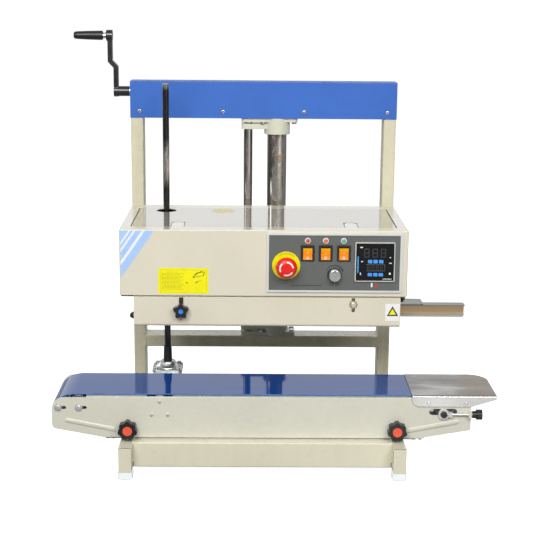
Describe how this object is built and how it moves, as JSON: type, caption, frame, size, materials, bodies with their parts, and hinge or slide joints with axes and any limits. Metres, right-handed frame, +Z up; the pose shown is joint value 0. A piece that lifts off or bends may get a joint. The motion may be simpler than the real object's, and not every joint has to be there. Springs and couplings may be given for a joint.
{
  "type": "continuous band sealer",
  "caption": "Bench bag sealer: a boxed sealing head on a column raised by a hand crank over a belt conveyor on a welded stand with a blue top beam.",
  "frame": {"origin": "middle of the overall footprint, on the floor under the feet", "axes": "+X along the conveyor towards its infeed end, +Y from the control panel to the back, +Z up"},
  "size_m": [0.861, 0.4306, 0.8341],
  "materials": {
    "cream_paint": "gloss powder coat",
    "blue_paint": "hammered gloss paint",
    "foot_plastic": "translucent moulded",
    "screw_steel": "zinc plated",
    "column_steel": "ground, oiled, patches of rust",
    "bearing_bronze": "machined",
    "lead_screw_steel": "machined",
    "black_paint": "satin",
    "black_plastic": "moulded",
    "chassis_steel": "dark satin",
    "carriage_iron": "machined casting",
    "panel_grey": "satin printed panel in a silver frame",
    "estop_yellow": "moulded",
    "estop_red": "moulded",
    "amber_rocker": "translucent moulded",
    "speed_knob_metal": "turned, dark skirt",
    "controller_black": "moulded, dark window",
    "button_blue": "moulded",
    "stainless": "rolled stainless sheet",
    "gear_steel": "hobbed",
    "motor_grey": "satin",
    "band_ptfe": "glass cloth band",
    "heater_brass": "machined",
    "cooler_aluminium": "finned",
    "belt_blue": "glossy belt",
    "roller_steel": "turned tube",
    "key_shaft_steel": "blackened",
    "gearbox_alloy": "cast",
    "boot_rubber": "moulded",
    "tension_steel": "zinc plated",
    "idler_aluminium": "turned"
  },
  "bodies": {
    "stand": {"base_frame": "cream_paint", "feet": "foot_plastic", "upright_frame": "cream_paint", "beam_cover": "blue_paint", "frame_screws": "screw_steel", "conveyor_brackets": "cream_paint", "guide_columns": "column_steel", "column_castings": "cream_paint", "lift_bearings": "bearing_bronze"},
    "lead_screw": {"lead_screw": "lead_screw_steel"},
    "crank": {"crank_shaft": "lead_screw_steel", "crank_arm": "black_paint"},
    "crank_grip": {"crank_grip": "black_plastic"},
    "head": {"chassis_plate": "chassis_steel", "head_shell": "cream_paint", "carriage": "carriage_iron", "control_panel": "panel_grey", "estop_housing": "estop_yellow", "switch_housings": "black_plastic", "temperature_controller": "controller_black", "infeed_guides": "stainless", "head_screws": "screw_steel", "gear_plate": "gear_steel", "drive_motor": "motor_grey", "sealing_bands": "band_ptfe", "heater_blocks": "heater_brass", "cooling_blocks": "cooler_aluminium"},
    "lid": {"top_lid": "cream_paint"},
    "guard": {"front_guard": "cream_paint"},
    "guard_knob": {"guard_knob": "black_plastic"},
    "estop_button": {"estop_button": "estop_red"},
    "rocker_1": {"rocker_1": "amber_rocker"},
    "rocker_2": {"rocker_2": "amber_rocker"},
    "rocker_3": {"rocker_3": "amber_rocker"},
    "speed_knob": {"speed_knob": "speed_knob_metal"},
    "upper_buttons": {"upper_buttons": "button_blue"},
    "lower_buttons": {"lower_buttons": "button_blue"},
    "motor_gear": {"motor_gear": "gear_steel"},
    "shaft_gear": {"shaft_gear": "gear_steel"},
    "front_drive": {"front_drive_wheel": "gear_steel"},
    "rear_drive": {"rear_drive_wheel": "gear_steel"},
    "front_idler": {"front_idler_wheel": "idler_aluminium"},
    "rear_idler": {"rear_idler_wheel": "idler_aluminium"},
    "conveyor": {"front_side_plate": "cream_paint", "rear_side_plate": "cream_paint", "slider_bed": "cream_paint", "conveyor_belt": "belt_blue", "conveyor_screws": "screw_steel", "infeed_plate": "stainless", "gearbox": "gearbox_alloy", "shaft_boot": "boot_rubber"},
    "end_roller": {"end_roller": "roller_steel"},
    "second_roller": {"second_roller": "roller_steel"},
    "drive_drum": {"drive_drum": "roller_steel"},
    "tension_carrier": {"tension_carrier": "tension_steel"},
    "tension_roller": {"tension_roller": "roller_steel"},
    "tension_knob": {"tension_knob": "black_plastic"},
    "key_shaft": {"key_shaft": "key_shaft_steel"},
    "clamp_knob_left": {"clamp_knob_left": "black_plastic"},
    "clamp_knob_right": {"clamp_knob_right": "black_plastic"}
  },
  "joints": [
    {"name": "crank_spin", "type": "hinge", "parent": "stand", "child": "crank", "pos_m": [-0.3225, 0.166, 0.7086], "axis": [1, 0, 0], "range_deg": [-5760.1, 10800.1]},
    {"name": "crank_grip_spin", "type": "hinge", "parent": "crank", "child": "crank_grip", "pos_m": [-0.3825, 0.166, 0.8226], "axis": [1, 0, 0], "continuous": true},
    {"name": "lead_screw_spin", "type": "hinge", "parent": "stand", "child": "lead_screw", "pos_m": [0.006, 0.166, 0.44], "axis": [0, 0, 1], "range_deg": [-10800.1, 5760.1]},
    {"name": "head_lift", "type": "slide", "parent": "stand", "child": "head", "axis": [0, 0, 1], "range_m": [-0.08, 0.15]},
    {"name": "lid_lift_off", "type": "slide", "parent": "head", "child": "lid", "axis": [0, 0, 1], "range_m": [0, 0.05]},
    {"name": "guard_slide", "type": "slide", "parent": "head", "child": "guard", "axis": [0, 0, 1], "range_m": [-0.013, 0]},
    {"name": "guard_knob_turn", "type": "hinge", "parent": "head", "child": "guard_knob", "pos_m": [-0.179, -0.16, 0.3225], "axis": [0, 1, 0], "range_deg": [-720, 0]},
    {"name": "estop_push", "type": "slide", "parent": "head", "child": "estop_button", "axis": [0, 1, 0], "range_m": [0, 0.004], "stiffness_N_per_m": 1500},
    {"name": "speed_knob_turn", "type": "hinge", "parent": "head", "child": "speed_knob", "pos_m": [0.1111, -0.17, 0.3942], "axis": [0, 1, 0], "range_deg": [-150, 150]},
    {"name": "rocker_1_tilt", "type": "hinge", "parent": "head", "child": "rocker_1", "pos_m": [0.0599, -0.159, 0.4352], "axis": [1, 0, 0], "range_deg": [-18, 0]},
    {"name": "rocker_2_tilt", "type": "hinge", "parent": "head", "child": "rocker_2", "pos_m": [0.0937, -0.159, 0.4352], "axis": [1, 0, 0], "range_deg": [-18, 0]},
    {"name": "rocker_3_tilt", "type": "hinge", "parent": "head", "child": "rocker_3", "pos_m": [0.128, -0.159, 0.4352], "axis": [1, 0, 0], "range_deg": [-18, 0]},
    {"name": "upper_buttons_push", "type": "slide", "parent": "head", "child": "upper_buttons", "axis": [0, 1, 0], "range_m": [0, 0.0015], "stiffness_N_per_m": 600},
    {"name": "lower_buttons_push", "type": "slide", "parent": "head", "child": "lower_buttons", "axis": [0, 1, 0], "range_m": [0, 0.0015], "stiffness_N_per_m": 600},
    {"name": "motor_spin", "type": "hinge", "parent": "head", "child": "motor_gear", "pos_m": [-0.21388, -0.00425, 0.361], "axis": [0, 0, 1], "continuous": true},
    {"name": "shaft_gear_spin", "type": "hinge", "parent": "head", "child": "shaft_gear", "pos_m": [-0.219, 0.048, 0.361], "axis": [0, 0, 1], "continuous": true},
    {"name": "rear_drive_spin", "type": "hinge", "parent": "head", "child": "rear_drive", "pos_m": [-0.219, -0.0565, 0.361], "axis": [0, 0, 1], "continuous": true},
    {"name": "front_drive_spin", "type": "hinge", "parent": "head", "child": "front_drive", "pos_m": [-0.219, -0.1135, 0.361], "axis": [0, 0, 1], "continuous": true},
    {"name": "rear_idler_spin", "type": "hinge", "parent": "head", "child": "rear_idler", "pos_m": [0.1735, -0.0565, 0.31], "axis": [0, 0, 1], "continuous": true},
    {"name": "front_idler_spin", "type": "hinge", "parent": "head", "child": "front_idler", "pos_m": [0.1735, -0.1135, 0.31], "axis": [0, 0, 1], "continuous": true},
    {"name": "conveyor_height", "type": "slide", "parent": "stand", "child": "conveyor", "axis": [0, 0, 1], "range_m": [0, 0.04]},
    {"name": "key_shaft_spin", "type": "hinge", "parent": "conveyor", "child": "key_shaft", "pos_m": [-0.219, 0.048, 0.3], "axis": [0, 0, 1], "continuous": true},
    {"name": "drive_drum_spin", "type": "hinge", "parent": "conveyor", "child": "drive_drum", "pos_m": [-0.2221, -0.085, 0.123], "axis": [0, 1, 0], "continuous": true},
    {"name": "end_roller_spin", "type": "hinge", "parent": "conveyor", "child": "end_roller", "pos_m": [-0.418, -0.085, 0.127], "axis": [0, 1, 0], "continuous": true},
    {"name": "second_roller_spin", "type": "hinge", "parent": "conveyor", "child": "second_roller", "pos_m": [-0.3782, -0.085, 0.127], "axis": [0, 1, 0], "continuous": true},
    {"name": "tension_slide", "type": "slide", "parent": "conveyor", "child": "tension_carrier", "axis": [1, 0, 0], "range_m": [-0.005, 0]},
    {"name": "tension_roller_spin", "type": "hinge", "parent": "tension_carrier", "child": "tension_roller", "pos_m": [0.3283, -0.085, 0.1215], "axis": [0, 1, 0], "continuous": true},
    {"name": "tension_knob_turn", "type": "hinge", "parent": "conveyor", "child": "tension_knob", "pos_m": [0.3965, -0.1642, 0.118], "axis": [1, 0, 0], "range_deg": [-1800.1, 0]},
    {"name": "clamp_left_turn", "type": "hinge", "parent": "conveyor", "child": "clamp_knob_left", "pos_m": [-0.2825, -0.175, 0.0875], "axis": [0, 1, 0], "range_deg": [-720, 0]},
    {"name": "clamp_right_turn", "type": "hinge", "parent": "conveyor", "child": "clamp_knob_right", "pos_m": [0.2375, -0.175, 0.0875], "axis": [0, 1, 0], "range_deg": [-720, 0]}
  ],
  "couplings": [
    {"joint": "crank_spin", "follows": "head_lift", "rad_per_m": 1256.6},
    {"joint": "lead_screw_spin", "follows": "head_lift", "rad_per_m": -1256.6},
    {"joint": "shaft_gear_spin", "follows": "motor_spin", "ratio": -0.8421},
    {"joint": "key_shaft_spin", "follows": "motor_spin", "ratio": -0.8421},
    {"joint": "rear_drive_spin", "follows": "motor_spin", "ratio": -0.8421},
    {"joint": "front_drive_spin", "follows": "motor_spin", "ratio": 0.8421},
    {"joint": "rear_idler_spin", "follows": "motor_spin", "ratio": -0.8421},
    {"joint": "front_idler_spin", "follows": "motor_spin", "ratio": 0.8421},
    {"joint": "drive_drum_spin", "follows": "motor_spin", "ratio": -0.8421},
    {"joint": "end_roller_spin", "follows": "motor_spin", "ratio": -2.3579},
    {"joint": "second_roller_spin", "follows": "motor_spin", "ratio": -0.98246},
    {"joint": "tension_roller_spin", "follows": "motor_spin", "ratio": -0.79929},
    {"joint": "tension_knob_turn", "follows": "tension_slide", "rad_per_m": 6283.2}
  ]
}
